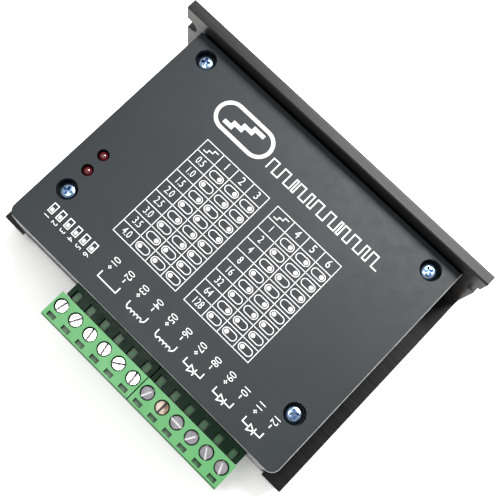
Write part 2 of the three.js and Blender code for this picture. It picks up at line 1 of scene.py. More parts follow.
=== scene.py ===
"""Looks of the stepper driver module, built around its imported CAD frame. Sizes are in millimetres and
places are worked out from the frame's boxes; M turns millimetres into metres."""

import json
import math
import random

import bmesh
import bpy
from mathutils import Matrix, Vector


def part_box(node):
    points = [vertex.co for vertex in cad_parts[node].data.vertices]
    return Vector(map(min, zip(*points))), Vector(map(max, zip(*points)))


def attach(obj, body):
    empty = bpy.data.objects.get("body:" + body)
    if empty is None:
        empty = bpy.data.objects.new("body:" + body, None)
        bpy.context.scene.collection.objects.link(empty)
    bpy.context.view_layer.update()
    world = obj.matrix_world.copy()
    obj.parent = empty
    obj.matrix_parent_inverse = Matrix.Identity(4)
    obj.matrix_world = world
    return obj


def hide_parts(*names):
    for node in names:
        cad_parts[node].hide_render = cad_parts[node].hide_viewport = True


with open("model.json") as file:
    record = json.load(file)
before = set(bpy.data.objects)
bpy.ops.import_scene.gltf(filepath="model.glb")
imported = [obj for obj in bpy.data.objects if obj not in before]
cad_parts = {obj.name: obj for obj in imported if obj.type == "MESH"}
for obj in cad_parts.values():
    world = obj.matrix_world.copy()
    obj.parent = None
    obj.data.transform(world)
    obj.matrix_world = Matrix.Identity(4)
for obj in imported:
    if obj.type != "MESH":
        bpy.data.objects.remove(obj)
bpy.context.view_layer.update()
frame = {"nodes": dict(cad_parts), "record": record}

M = 0.001

# ---------- places taken from the frame ----------
COVER_LOW, COVER_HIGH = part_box("cover")
FRONT_Y = COVER_LOW.y / M  # the cover's front wall, where the print's own Y starts
TOP_Z = COVER_HIGH.z / M
INK_Z = TOP_Z + 0.02
INK_HEIGHT = 0.03


def middle(node):
    low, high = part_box(node)
    return (low + high) / 2 / M


# ---------- camera, floor and light ----------
CAMERA_PLACE = Vector((25.28, -37.44, 244.8)) * M
CAMERA_FORWARD = Vector((-0.1184, 0.1762, -0.9772))
CAMERA_RIGHT = Vector((0.7128, 0.7002, 0.0399))
CAMERA_LENS = 62.3
CAMERA_SHIFT = 0.05


def make_camera():
    data = bpy.data.cameras.new("camera")
    data.lens = CAMERA_LENS
    data.shift_x = CAMERA_SHIFT
    data.clip_start = 0.01
    data.clip_end = 20
    camera = bpy.data.objects.new("camera", data)
    bpy.context.scene.collection.objects.link(camera)
    back = -CAMERA_FORWARD.normalized()
    right = (CAMERA_RIGHT - CAMERA_RIGHT.dot(back) * back).normalized()
    up = back.cross(right)
    camera.matrix_world = Matrix.Translation(CAMERA_PLACE) @ Matrix((right, up, back)).transposed().to_4x4()
    bpy.context.scene.camera = camera


def add_softbox(name, place, target, size, watts):
    data = bpy.data.lights.new(name, "AREA")
    data.shape = "RECTANGLE"
    data.size = size[0]
    data.size_y = size[1]
    data.energy = watts
    lamp = bpy.data.objects.new(name, data)
    bpy.context.scene.collection.objects.link(lamp)
    aim = Vector(target) - Vector(place)
    lamp.location = place
    lamp.rotation_mode = "QUATERNION"
    lamp.rotation_quaternion = aim.to_track_quat("-Z", "Y")
    return lamp


def make_world(strength, overhead):
    """A white room whose ceiling is darker in a patch straight above, by the share given."""
    world = bpy.data.worlds.new("studio")
    world.use_nodes = True
    tree = world.node_tree
    background = tree.nodes["Background"]
    direction = tree.nodes.new("ShaderNodeTexCoord")
    height = tree.nodes.new("ShaderNodeVectorMath")
    height.operation = "DOT_PRODUCT"
    height.inputs[1].default_value = Vector((0.04, -0.06, 1.0)).normalized()
    tree.links.new(direction.outputs["Generated"], height.inputs[0])
    ramp = tree.nodes.new("ShaderNodeMapRange")
    ramp.interpolation_type = "SMOOTHSTEP"
    ramp.inputs["From Min"].default_value = 0.93
    ramp.inputs["From Max"].default_value = 0.995
    ramp.inputs["To Min"].default_value = strength
    ramp.inputs["To Max"].default_value = strength * overhead
    tree.links.new(height.outputs["Value"], ramp.inputs["Value"])
    tree.links.new(ramp.outputs["Result"], background.inputs["Strength"])
    background.inputs["Color"].default_value = (1, 1, 1, 1)
    bpy.context.scene.world = world


# ---------- node materials ----------
class Nodes:
    """A short way to write a node material: one method for each kind of node."""

    def __init__(self, name):
        self.material = bpy.data.materials.new(name)
        self.material.use_nodes = True
        self.tree = self.material.node_tree
        self.shader = self.tree.nodes["Principled BSDF"]

    def add(self, kind, links=(), **settings):
        node = self.tree.nodes.new(kind)
        for key, value in settings.items():
            if hasattr(node, key):
                setattr(node, key, value)
            else:
                node.inputs[key].default_value = value
        for socket, source in links:
            self.tree.links.new(source, node.inputs[socket])
        return node

    def set(self, **values):
        for key, value in values.items():
            socket = self.shader.inputs[key.replace("_", " ")]
            if isinstance(value, bpy.types.NodeSocket):
                self.tree.links.new(value, socket)
            else:
                socket.default_value = value

    def place(self, scale=(1, 1, 1)):
        """Object coordinates in metres, stretched by scale."""
        source = self.add("ShaderNodeTexCoord").outputs["Object"]
        mapping = self.add("ShaderNodeMapping", [("Vector", source)])
        mapping.inputs["Scale"].default_value = scale
        return mapping.outputs[0]

    def noise(self, scale, detail=3.0, roughness=0.5, stretch=(1, 1, 1)):
        node = self.add("ShaderNodeTexNoise", [("Vector", self.place(stretch))])
        node.inputs["Scale"].default_value = scale
        node.inputs["Detail"].default_value = detail
        node.inputs["Roughness"].default_value = roughness
        return node.outputs["Fac"]

    def ramp(self, value, *stops):
        """Colour or grey ramp; each stop is (position, colour or grey)."""
        node = self.add("ShaderNodeValToRGB", [("Fac", value)])
        elements = node.color_ramp.elements
        while len(elements) < len(stops):
            elements.new(0.5)
        for element, (position, colour) in zip(elements, stops):
            element.position = position
            rgb = colour if isinstance(colour, tuple) else (colour, colour, colour)
            element.color = (*rgb, 1)
        return node.outputs["Color"]

    def bump(self, height, distance, strength=1.0, after=None):
        node = self.add("ShaderNodeBump", [("Height", height)])
        node.inputs["Distance"].default_value = distance
        node.inputs["Strength"].default_value = strength
        if after is not None:
            self.tree.links.new(after, node.inputs["Normal"])
        return node.outputs["Normal"]

    def mix(self, factor, first, second, mode="MIX"):
        node = self.add("ShaderNodeMix", data_type="RGBA", blend_type=mode)
        for index, value in ((0, factor), (6, first), (7, second)):
            if isinstance(value, bpy.types.NodeSocket):
                self.tree.links.new(value, node.inputs[index])
            elif index:
                node.inputs[index].default_value = (*value, 1)
            else:
                node.inputs[index].default_value = value
        return node.outputs[2]


def painted_corner_shade(nodes, colour, reach, corner, span=(0.15, 0.75)):
    """The colour, turning into the corner colour in corners and slots within reach metres, found by ambient
    occlusion: painted shade.
    """
    near = nodes.add("ShaderNodeAmbientOcclusion")
    near.samples = 6
    near.inputs["Distance"].default_value = reach
    return nodes.mix(nodes.ramp(near.outputs["AO"], (span[0], 1.0), (span[1], 0.0)), colour, corner)


def shade(colour, factor):
    return tuple(min(1.0, c * factor) for c in colour)


def mottled(nodes, colour, spread, scale):
    """The colour, drifting lighter and darker by the given share over patches of the given scale."""
    cloud = nodes.noise(scale, 4.0)
    return nodes.ramp(cloud, (0.3, shade(colour, 1 - spread)), (0.7, shade(colour, 1 + spread)))


def make_cover_paint(name="cover_paint", smooth=0.40):
    """Satin black paint with a few specks of dust; smooth is its lowest roughness."""
    nodes = Nodes(name)
    base = mottled(nodes, (0.013, 0.0175, 0.0205), 0.10, 45)
    dust = nodes.ramp(nodes.noise(2600, 2.0, 0.6), (0.70, 0.0), (0.80, 1.0))
    colour = nodes.mix(dust, base, (0.06, 0.065, 0.07))
    fine = nodes.bump(nodes.noise(1900, 2.0), 0.00002, 0.5)
    roughness = nodes.ramp(nodes.noise(320, 3.0), (0.3, smooth), (0.7, smooth + 0.07))
    nodes.set(Base_Color=colour, Roughness=roughness, Normal=fine)
    nodes.shader.inputs["Specular IOR Level"].default_value = 0.275
    return nodes.material


def make_painted_edge_highlight():
    """The rounding of the cover's roof edges, lighter grey in patches: a painted highlight."""
    nodes = Nodes("painted_edge_highlight")
    highlight_patches = nodes.ramp(nodes.noise(260, 4.0, 0.6), (0.3, 0.35), (0.58, 1.0))
    base = nodes.mix(highlight_patches, (0.03, 0.034, 0.037), (0.30, 0.305, 0.30))
    nodes.set(Base_Color=base, Roughness=0.36, Normal=nodes.bump(nodes.noise(2400, 2.0), 0.00002, 0.5))
    return nodes.material


def make_anodised(name, tone, gloss, browning):
    """Black anodised extrusion: long fine die lines run along X. A tone below 1 gives a darker copy, and the
    colour darkens in corners and gaps within 6 mm: both painted shade.
    """
    nodes = Nodes(name)
    lines = nodes.noise(1.0, 4.0, 0.65, stretch=(6, 2600, 2600))
    broad = nodes.noise(1.0, 2.0, 0.5, stretch=(4, 420, 420))
    dark, light = shade((0.006, 0.007, 0.009), tone), shade((0.026, 0.026, 0.025), tone)
    grey = nodes.ramp(lines, (0.3, dark), (0.72, light))
    browned = nodes.ramp(broad, (0.4, 0.0), (0.62, browning))
    base = nodes.mix(browned, grey, shade((0.042, 0.034, 0.026), tone))
    coarse = nodes.bump(broad, 0.00006, 0.35)
    fine = nodes.bump(lines, 0.00003, 0.6, after=coarse)
    roughness = nodes.ramp(lines, (0.3, 0.28), (0.7, 0.40))
    shaded = painted_corner_shade(nodes, base, 0.006, (0.0015, 0.002, 0.003), (0.35, 0.75))
    nodes.set(Base_Color=shaded, Roughness=roughness, Normal=fine)
    nodes.shader.inputs["Specular IOR Level"].default_value = gloss
    return nodes.material


def make_ink():
    nodes = Nodes("white_ink")
    base = nodes.ramp(nodes.noise(1500, 3.0), (0.25, 0.72), (0.6, 0.86))
    nodes.set(Base_Color=base, Roughness=0.55, Normal=nodes.bump(nodes.noise(4000), 0.00001, 0.4))
    return nodes.material


def make_plastic(name, colour, roughness=0.42, grain=1400, spread=0.05, corner=None,
                 reach=0.0012, gloss=0.5, span=(0.15, 0.75)):
    nodes = Nodes(name)
    nodes.shader.inputs["Specular IOR Level"].default_value = gloss
    base = mottled(nodes, colour, spread, 90)
    # With a corner colour, the colour turns towards it in corners and slots within reach: painted shade.
    if corner:
        base = painted_corner_shade(nodes, base, reach, corner, span)
    rough = nodes.ramp(nodes.noise(300), (0.3, roughness - 0.05), (0.7, roughness + 0.06))
    nodes.set(Base_Color=base, Roughness=rough, Normal=nodes.bump(nodes.noise(grain, 2.0), 0.00002, 0.35))
    return nodes.material


def make_plated(name, dark, light, roughness, stain=None, scale=900, metallic=1.0):
    """Plated steel: cloudy tone, fine scratches, and stains where a colour is given for them."""
    nodes = Nodes(name)
    base = nodes.ramp(nodes.noise(scale, 4.0, 0.6), (0.3, dark), (0.7, light))
    if stain:
        patch = nodes.ramp(nodes.noise(420, 3.0), (0.52, 0.0), (0.66, 1.0))
        base = nodes.mix(patch, base, stain)
    scratches = nodes.noise(1.0, 2.0, 0.5, stretch=(900, 6000, 900))
    rough = nodes.ramp(scratches, (0.3, roughness - 0.03), (0.7, roughness + 0.05))
    normal = nodes.bump(scratches, 0.00001, 0.08)
    nodes.set(Base_Color=base, Roughness=rough, Normal=normal, Metallic=metallic)
    return nodes.material


def make_lens():
    nodes = Nodes("red_lens")
    base = mottled(nodes, (0.16, 0.012, 0.018), 0.25, 700)
    nodes.set(Base_Color=base, Roughness=0.08)
    nodes.shader.inputs["Transmission Weight"].default_value = 0.35
    nodes.shader.inputs["IOR"].default_value = 1.53
    nodes.shader.inputs["Coat Weight"].default_value = 1.0
    nodes.shader.inputs["Coat Roughness"].default_value = 0.03
    return nodes.material


def make_board():
    """Solder mask over glass cloth, with tracks showing as slightly raised lighter bands."""
    nodes = Nodes("solder_mask")
    cells = nodes.add("ShaderNodeTexBrick", [("Vector", nodes.place((1, 1, 1)))])
    cells.inputs["Scale"].default_value = 210
    cells.inputs["Mortar Size"].default_value = 0.035
    weave = nodes.noise(2400, 1.0)
    base = nodes.mix(cells.outputs["Fac"], (0.008, 0.075, 0.026), (0.02, 0.15, 0.055))
    lift = nodes.bump(cells.outputs["Fac"], 0.00004, 0.6, after=nodes.bump(weave, 0.00001, 0.4))
    nodes.set(Base_Color=base, Roughness=0.22, Normal=lift)
    nodes.shader.inputs["Coat Weight"].default_value = 0.4
    return nodes.material


def make_floor_material():
    nodes = Nodes("pale_floor")
    base = nodes.ramp(nodes.noise(3.0), (0.3, 0.90), (0.7, 0.92))
    # The floor glows evenly, and the glow fades near the module: painted contact shadow.
    glow_and_painted_shadow = painted_corner_shade(nodes, (1.0, 0.99, 0.965), 0.02, (0.1, 0.1, 0.1), (0.3, 0.8))
    nodes.set(Base_Color=base, Roughness=0.7, Emission_Color=glow_and_painted_shadow, Emission_Strength=0.46)
    return nodes.material


# ---------- meshes ----------
def new_piece(name, mesh, materials):
    piece = bpy.data.objects.new(name, mesh)
    bpy.context.scene.collection.objects.link(piece)
    for material in materials:
        mesh.materials.append(material)
    return piece


def even_shading(piece):
    """Lets large flat faces set the normals, so that rounded edges don't shade across them."""
    weighted = piece.modifiers.new("even_shading", "WEIGHTED_NORMAL")
    weighted.mode = "FACE_AREA_WITH_ANGLE"
    weighted.weight = 100
    weighted.keep_sharp = True
    return piece


def mesh_from(bm, name, smooth_angle=30.0):
    """Closes the edit mesh: consistent normals, smooth faces, and sharp edges over the angle."""
    bmesh.ops.recalc_face_normals(bm, faces=bm.faces)
    limit = math.radians(smooth_angle)
    for face in bm.faces:
        face.smooth = True
    for edge in bm.edges:
        edge.smooth = len(edge.link_faces) == 2 and edge.calc_face_angle(0.0) < limit
    mesh = bpy.data.meshes.new(name)
    bm.to_mesh(mesh)
    bm.free()
    return mesh


def body_of(node):
    for body, nodes in frame["record"]["behaviour"]["bodies"].items():
        if node in nodes:
            return body
    raise ValueError(node)


def stand_for(piece, node):
    """The piece takes the CAD node's place: the node is hidden, and the piece joins the node's body."""
    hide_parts(node)
    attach(piece, body_of(node))
    return piece


def softened(node, width, materials, pick=None, angle=35.0):
    """A finer copy of a CAD node: its flat faces are made whole, and its edges are rounded by width mm.
    pick(centre, normal) gives the material index of a face."""
    bm = bmesh.new()
    bm.from_mesh(frame["nodes"][node].data)
    bmesh.ops.remove_doubles(bm, verts=bm.verts, dist=0.002 * M)
    bmesh.ops.dissolve_limit(
        bm,
        angle_limit=math.radians(1.0),
        verts=bm.verts,
        edges=bm.edges,
    )
    if width:
        sharp = [
            e for e in bm.edges if len(e.link_faces) == 2 and e.calc_face_angle(0.0) > math.radians(angle)
        ]
        bmesh.ops.bevel(
            bm,
            geom=sharp,
            offset=width * M,
            offset_type="OFFSET",
            segments=2,
            profile=0.5,
            affect="EDGES",
            clamp_overlap=True,
        )
    if pick:
        for face in bm.faces:
            face.material_index = pick(face.calc_center_median() / M, face.normal)
    piece = new_piece(node + "_fine", mesh_from(bm, node + "_fine", 40.0), materials)
    return stand_for(even_shading(piece), node)


def lathe(profile, segments=48):
    """An edit mesh of a solid of revolution about Z from [radius, z] points in mm; radius 0 closes it."""
    bm = bmesh.new()
    rings = []
    for radius, z in profile:
        if radius == 0:
            rings.append([bm.verts.new((0, 0, z * M))])
            continue
        angles = [2 * math.pi * i / segments for i in range(segments)]
        ring = [(radius * M * math.cos(a), radius * M * math.sin(a), z * M) for a in angles]
        rings.append([bm.verts.new(point) for point in ring])
    for low, high in zip(rings, rings[1:]):
        for i in range(segments):
            j = (i + 1) % segments
            if len(low) == 1:
                bm.faces.new((low[0], high[j], high[i]))
            elif len(high) == 1:
                bm.faces.new((low[i], low[j], high[0]))
            else:
                bm.faces.new((low[i], low[j], high[j], high[i]))
    return bm


def add_box(bm, low, high, bevel=0.0, material=0):
    """Adds a box in mm to an edit mesh, with rounded edges where a bevel is given."""
    low, high = Vector(low) * M, Vector(high) * M
    made = bmesh.ops.create_cube(bm, size=1.0)
    verts = made["verts"]
    for v in verts:
        v.co = Vector([low[i] + (v.co[i] + 0.5) * (high[i] - low[i]) for i in range(3)])
    faces = list({f for v in verts for f in v.link_faces})
    for face in faces:
        face.material_index = material
    if bevel:
        edges = list({e for v in verts for e in v.link_edges})
        bmesh.ops.bevel(
            bm, geom=edges, offset=bevel * M, segments=2, profile=0.5, affect="EDGES", clamp_overlap=True
        )


CUT_EDGE_ANGLE = 22.0  # degrees; a cut piece shades as an edge wherever it bends by more


def mark_sharp(mesh, angle):
    """Marks the edges that bend by more than the angle in degrees, so that they shade as edges."""
    bm = bmesh.new()
    bm.from_mesh(mesh)
    for face in bm.faces:
        face.smooth = True
    for edge in bm.edges:
        edge.smooth = len(edge.link_faces) == 2 and edge.calc_face_angle(0.0) < math.radians(angle)
    bm.to_mesh(mesh)
    bm.free()


def boolean(piece, cutter):
    """Cuts the piece with the cutter, and removes the cutter."""
    modifier = piece.modifiers.new("cut", "BOOLEAN")
    modifier.operation = "DIFFERENCE"
    modifier.solver = "EXACT"
    modifier.object = cutter
    bpy.context.view_layer.update()
    graph = bpy.context.evaluated_depsgraph_get()
    made = bpy.data.meshes.new_from_object(piece.evaluated_get(graph))
    piece.modifiers.clear()
    piece.data = made
    mark_sharp(made, CUT_EDGE_ANGLE)
    even_shading(piece)
    bpy.data.objects.remove(cutter)


# ---------- white print on the cover ----------
def cover_point(x, y):
    return Vector((x, FRONT_Y + y))


def ribbon(bm, points, width, closed=False):
    """A printed line of the given width in mm through points on the cover, with mitred corners."""
    points = [cover_point(x, y) for x, y in points]
    count = len(points)
    sides = []
    for i, point in enumerate(points):
        before = points[i - 1] if closed or i else None
        after = points[(i + 1) % count] if closed or i < count - 1 else None
        first = (point - before).normalized() if before else (after - point).normalized()
        second = (after - point).normalized() if after else first
        bisector = first + second
        bisector = bisector.normalized() if bisector.length > 1e-6 else first
        normal = Vector((-bisector.y, bisector.x))
        cosine = max(0.35, normal.dot(Vector((-first.y, first.x))))
        sides.append((point + normal * width / 2 / cosine, point - normal * width / 2 / cosine))
    rings = []
    for left, right in sides:
        corners = [(left, INK_Z), (right, INK_Z), (right, INK_Z + INK_HEIGHT), (left, INK_Z + INK_HEIGHT)]
        rings.append([bm.verts.new((p.x * M, p.y * M, z * M)) for p, z in corners])
    pairs = list(zip(rings, rings[1:]))
    if closed:
        pairs.append((rings[-1], rings[0]))
    for a, b in pairs:
        for k in range(4):
            bm.faces.new((a[k], b[k], b[(k + 1) % 4], a[(k + 1) % 4]))
    if not closed:
        bm.faces.new(rings[0][::-1])
        bm.faces.new(rings[-1])


def frame_line(bm, x0, y0, x1, y1, width):
    ribbon(bm, [(x0, y0), (x1, y0), (x1, y1), (x0, y1)], width, closed=True)


def arc(cx, cy, radius, start, end, steps=12):
    """Points of an arc from start to end degrees."""
    angles = [math.radians(start + (end - start) * i / steps) for i in range(steps + 1)]
    return [(cx + radius * math.cos(a), cy + radius * math.sin(a)) for a in angles]


def add_number(bm, text, x, y, size, turn=0.0, narrow=0.85):
    """Adds a number as thin print, centred on (x, y) of the cover and turned by degrees."""
    curve = bpy.data.curves.new("number", "FONT")
    curve.body = text
    curve.size = size * M
    curve.align_x = "CENTER"
    curve.align_y = "CENTER"
    curve.extrude = INK_HEIGHT / 2 * M
    curve.offset = -0.006 * size * M
    curve.resolution_u = 3
    holder = bpy.data.objects.new("number", curve)
    bpy.context.scene.collection.objects.link(holder)
    bpy.context.view_layer.update()
    graph = bpy.context.evaluated_depsgraph_get()
    mesh = bpy.data.meshes.new_from_object(holder.evaluated_get(graph))
    place = cover_point(x, y)
    mesh.transform(
        Matrix.Translation((place.x * M, place.y * M, (INK_Z + INK_HEIGHT / 2) * M))
        @ Matrix.Rotation(math.radians(turn), 4, "Z")
        @ Matrix.Diagonal((narrow, 1, 1, 1))
    )
    bm.from_mesh(mesh)
    bpy.data.objects.remove(holder)
    bpy.data.curves.remove(curve)
    bpy.data.meshes.remove(mesh)


TABLE_LEFTS = (-24.1, 1.05)
TABLE_ROWS = 9
TABLE_BOTTOM = 15.45
ROW_PITCH = 3.765
COLUMN_WIDTHS = (6.0, 5.4, 5.4, 5.4)
LINE = 0.2


def add_switch_mark(bm, x, y, on):
    """A toggle: a long round outline with a round knob at its right end when on."""
    reach, radius, line = 1.05, 1.0, 0.22
    outline = arc(x + reach, y, radius, -90, 90, 8) + arc(x - reach, y, radius, 90, 270, 8)
    ribbon(bm, outline, line, closed=True)
    side = 1 if on else -1
    ribbon(bm, arc(x + side * reach, y, 0.3, 0, 360, 10)[:-1], 0.6, closed=True)


def add_table(bm, left, values, first_channel):
    """A ruled table: values in its first column, then three switch positions that count the rows in twos."""
    width = sum(COLUMN_WIDTHS)
    top = TABLE_BOTTOM + TABLE_ROWS * ROW_PITCH
    frame_line(bm, left, TABLE_BOTTOM, left + width, top, LINE)
    for row in range(1, TABLE_ROWS):
        y = TABLE_BOTTOM + row * ROW_PITCH
        ribbon(bm, [(left, y), (left + width, y)], LINE)
    x = left
    for column in COLUMN_WIDTHS[:-1]:
        x += column
        ribbon(bm, [(x, TABLE_BOTTOM), (x, top)], LINE)
    centres = [left + sum(COLUMN_WIDTHS[:i]) + COLUMN_WIDTHS[i] / 2 for i in range(4)]
    head = top - ROW_PITCH / 2
    step = [(-1.9, -0.9), (-0.65, -0.9), (-0.65, 0), (0.6, 0), (0.6, 0.9), (1.9, 0.9)]
    ribbon(bm, [(centres[0] + dx, head + dy) for dx, dy in step], 0.26)
    for i, centre in enumerate(centres[1:]):
        add_number(bm, str(first_channel + i), centre, head, 3.3)
    for row, value in enumerate(values):
        y = head - (row + 1) * ROW_PITCH
        add_number(bm, value, centres[0], y, 3.0, narrow=0.72)
        for i, centre in enumerate(centres[1:]):
            add_switch_mark(bm, centre, y, not (row >> i) & 1)


EMBLEM_PLACE = (-19.3, 58.0)
PULSE_SPAN = (-8.4, 30.3)
PULSE_HEIGHT = (54.6, 57.9)


def add_emblem(bm, x, y):
    """A plain emblem: a long round badge with a rising staircase in it, the sign of a stepped turn."""
    reach, radius = 5.0, 3.9
    outline = arc(x + reach, y, radius, -90, 90, 16) + arc(x - reach, y, radius, 90, 270, 16)
    ribbon(bm, outline, 1.05, closed=True)
    stair = [
        (-5.6, -1.9), (-3.0, -1.9), (-3.0, -0.6), (-0.6, -0.6),
        (-0.6, 0.7), (1.9, 0.7), (1.9, 2.0), (5.2, 2.0),
    ]
    ribbon(bm, [(x + dx, y + dy) for dx, dy in stair], 1.15)


def add_pulse_train(bm, left, right, low, high):
    """A row of square pulses of changing width, in place of a title."""
    widths = (1.4, 1.4, 0.5, 1.3, 0.8, 1.5, 1.3, 0.5, 1.1, 1.4, 0.8, 1.3)
    unit = (right - left) / (2 * sum(widths))
    x = left
    points = [(left, low)]
    for width in widths:
        half = unit * width
        points += [(x, high), (x + half, high), (x + half, low), (x + 2 * half, low)]
        x += 2 * half
    ribbon(bm, points, 0.36)


MARK_LINE = 0.3


def add_supply_mark(bm, x0, x1, y):
    ribbon(bm, [(x0, y + 1.8), (x0, y), (x1, y), (x1, y + 1.8)], MARK_LINE)


def add_coil_mark(bm, x0, x1, y):
    """A winding: four bumps between two leads."""
    lead = 0.95
    span = (x1 - x0 - 2 * lead) / 4
    points = [(x0, y + 1.9), (x0, y + 0.9)]
    points += arc(x0 + lead, y + 0.9, lead, 180, 270, 5)[1:]
    for i in range(4):
        centre = x0 + lead + span * (i + 0.5)
        points += arc(centre, y - 0.05, span / 2, 180, 0, 6)[1:]
    points += arc(x1 - lead, y + 0.9, lead, 270, 360, 5)
    points.append((x1, y + 1.9))
    ribbon(bm, points, MARK_LINE)


def add_diode_mark(bm, x0, x1, y):
    """A diode between two leads."""
    middle_x = (x0 + x1) / 2
    ribbon(bm, [(x0, y + 1.5), (x0, y), (middle_x - 0.9, y)], MARK_LINE)
    ribbon(bm, [(middle_x + 0.9, y), (x1, y), (x1, y + 1.5)], MARK_LINE)
    triangle = [(middle_x - 0.85, y - 0.9), (middle_x + 0.8, y), (middle_x - 0.85, y + 0.9)]
    ribbon(bm, triangle, MARK_LINE, closed=True)
    ribbon(bm, [(middle_x + 0.9, y - 1.0), (middle_x + 0.9, y + 1.0)], MARK_LINE)


TERMINAL_X = -17.95
TERMINAL_PITCH = 5.05
LABEL_Y = 10.2


def add_terminal_print(bm):
    """Two-figure terminal numbers, each ending in a plus or minus, and what each pair leads to."""
    for i in range(12):
        x = TERMINAL_X + 0.15 + TERMINAL_PITCH * i
        add_number(bm, f"{i + 1:02d}", x, LABEL_Y, 3.0, turn=-90, narrow=0.8)
        ribbon(bm, [(x, 7.75), (x, 8.75)], MARK_LINE)
        if i % 2 == 0:
            ribbon(bm, [(x - 0.5, 8.25), (x + 0.5, 8.25)], MARK_LINE)
    lefts = [TERMINAL_X - 0.45 + 2 * TERMINAL_PITCH * k for k in range(6)]
    add_supply_mark(bm, lefts[0], lefts[0] + 6.3, 4.6)
    for x in lefts[1:3]:
        add_coil_mark(bm, x + 0.2, x + 6.5, 4.1)
    for x in lefts[3:]:
        add_diode_mark(bm, x - 0.1, x + 5.7, 4.5)


SWITCH_PRINT_X = -38.6
SWITCH_PRINT_PITCH = 2.85


def add_switch_print(bm):
    """Six switch numbers, each with a small track and knob behind it."""
    for i in range(6):
        x = SWITCH_PRINT_X + SWITCH_PRINT_PITCH * i
        add_number(bm, str(i + 1), x, 6.2, 2.5, turn=-90)
        frame_line(bm, x - 0.75, 7.4, x + 0.75, 10.0, 0.25)
        ribbon(bm, [(x, 7.8), (x, 8.8)], 0.8)


def make_print(ink):
    bm = bmesh.new()
    currents = ["0.5", "1.0", "1.5", "2.0", "2.5", "3.0", "3.5", "4.0"]
    steps = ["1", "2", "4", "8", "16", "32", "64", "128"]
    add_table(bm, TABLE_LEFTS[0], currents, 1)
    add_table(bm, TABLE_LEFTS[1], steps, 4)
    add_emblem(bm, *EMBLEM_PLACE)
    add_pulse_train(bm, *PULSE_SPAN, *PULSE_HEIGHT)
    add_terminal_print(bm)
    add_switch_print(bm)
    bmesh.ops.recalc_face_normals(bm, faces=bm.faces)
    mesh = bpy.data.meshes.new("cover_print")
    bm.to_mesh(mesh)
    bm.free()
    piece = new_piece("cover_print", mesh, [ink])
    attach(piece, "housing")


# ---------- screws ----------
def pan_head_profile(radius, height, shank, tip):
    """Pan head with a domed top, a straight shank and a pointed tip; the head sits on z = 0."""
    dome = [(radius * math.cos(a) ** 0.6, height * (0.5 + 0.5 * math.sin(a))) for a in
            [math.pi / 2 * i / 8 for i in range(8)]]
    return [(0, tip), (shank * 0.6, tip), (shank, tip + 0.6), (shank, 0), (radius, 0), *dome, (0, height)]


def make_cross_cutter(reach, depth, top):
    """A tapered cross, as a driver's tip leaves it."""
    bm = bmesh.new()
    rings = []
    for z, arm, half in ((top - depth, 0.16, reach * 0.5), (top + 0.5, 0.42, reach)):
        corner = [(half, -arm), (half, arm), (arm, arm)]
        ring = []
        for quarter in range(4):
            spin = Matrix.Rotation(math.pi / 2 * quarter, 3, "Z")
            ring += [bm.verts.new(spin @ Vector((x, y, z)) * M) for x, y in corner]
        rings.append(ring)
    count = len(rings[0])
    for i in range(count):
        j = (i + 1) % count
        bm.faces.new((rings[0][i], rings[0][j], rings[1][j], rings[1][i]))
    bm.faces.new(rings[0][::-1])
    bm.faces.new(rings[1])
    bmesh.ops.recalc_face_normals(bm, faces=bm.faces)
    mesh = bpy.data.meshes.new("cutter")
    bm.to_mesh(mesh)
    bm.free()
    return new_piece("cutter", mesh, [])


def make_cross_screw(node, seat, axis_up, head_height, length, turn, metal):
    """A pan head cross screw for a CAD screw node, its seat at the given point."""
    profile = pan_head_profile(2.4, head_height, 1.2, -length)
    piece = new_piece(node + "_fine", mesh_from(lathe(profile), node + "_fine", 50.0), [metal])
    boolean(piece, make_cross_cutter(1.45, head_height * 0.7, head_height))
    aim = Vector(axis_up).to_track_quat("Z", "Y").to_matrix().to_4x4()
    spin = Matrix.Rotation(math.radians(turn), 4, "Z")
    piece.data.transform(Matrix.Translation(Vector(seat) * M) @ aim @ spin)
    return stand_for(piece, node)


def make_cover_screws(metal):
    turns = {"front_left": 12, "front_right": 40, "rear_left": 28, "rear_right": 55}
    for name, turn in turns.items():
        node = "cover_screw_" + name
        low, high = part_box(node)
        centre = (low + high) / 2 / M
        head = 1.9
        seat = (centre.x, centre.y, high.z / M - head)
        make_cross_screw(node, seat, (0, 0, 1), head, seat[2] - low.z / M, turn, metal)


def make_inner_screws(metal):
    for place in ("left", "right", "rear"):
        node = "board_screw_" + place
        low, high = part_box(node)
        centre = (low + high) / 2 / M
        head = 1.6
        seat = (centre.x, centre.y, high.z / M - head)
        make_cross_screw(node, seat, (0, 0, 1), head, seat[2] - low.z / M, 20, metal)
    for place in ("left", "right"):
        node = "chip_screw_" + place
        low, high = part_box(node)
        centre = (low + high) / 2 / M
        head = 1.6
        seat = (centre.x, low.y / M + head, centre.z)
        make_cross_screw(node, seat, (0, -1, 0), head, high.y / M - seat[1], 33, metal)


SLOT_ANGLES = {
    "motor": (78, 62, 100, 102, 35, 96),
    "signal": (65, 88, -1, 60, 125, 112),
}
SLOT_HALF_WIDTH = 0.28
SLOT_DEPTH = 0.68
SLOT_VEE = 0.13  # how much deeper the slot is along its middle
TERMINAL_HEAD_RADIUS = 1.78


def make_slot_cutter(top):
    """A straight slot with a shallow V along its floor."""
    half = SLOT_HALF_WIDTH
    floor, corner = top - SLOT_DEPTH, top - SLOT_DEPTH + SLOT_VEE
    section = [(-half, top + 0.5), (-half, corner), (0, floor), (half, corner), (half, top + 0.5)]
    bm = bmesh.new()
    ends = [[bm.verts.new((x * M, y * M, z * M)) for y, z in section] for x in (-2.2, 2.2)]
    for i in range(len(section)):
        j = (i + 1) % len(section)
        bm.faces.new((ends[0][i], ends[0][j], ends[1][j], ends[1][i]))
    for end in ends:
        bm.faces.new(end)
    bmesh.ops.recalc_face_normals(bm, faces=bm.faces)
    mesh = bpy.data.meshes.new("cutter")
    bm.to_mesh(mesh)
    bm.free()
    return new_piece("cutter", mesh, [])


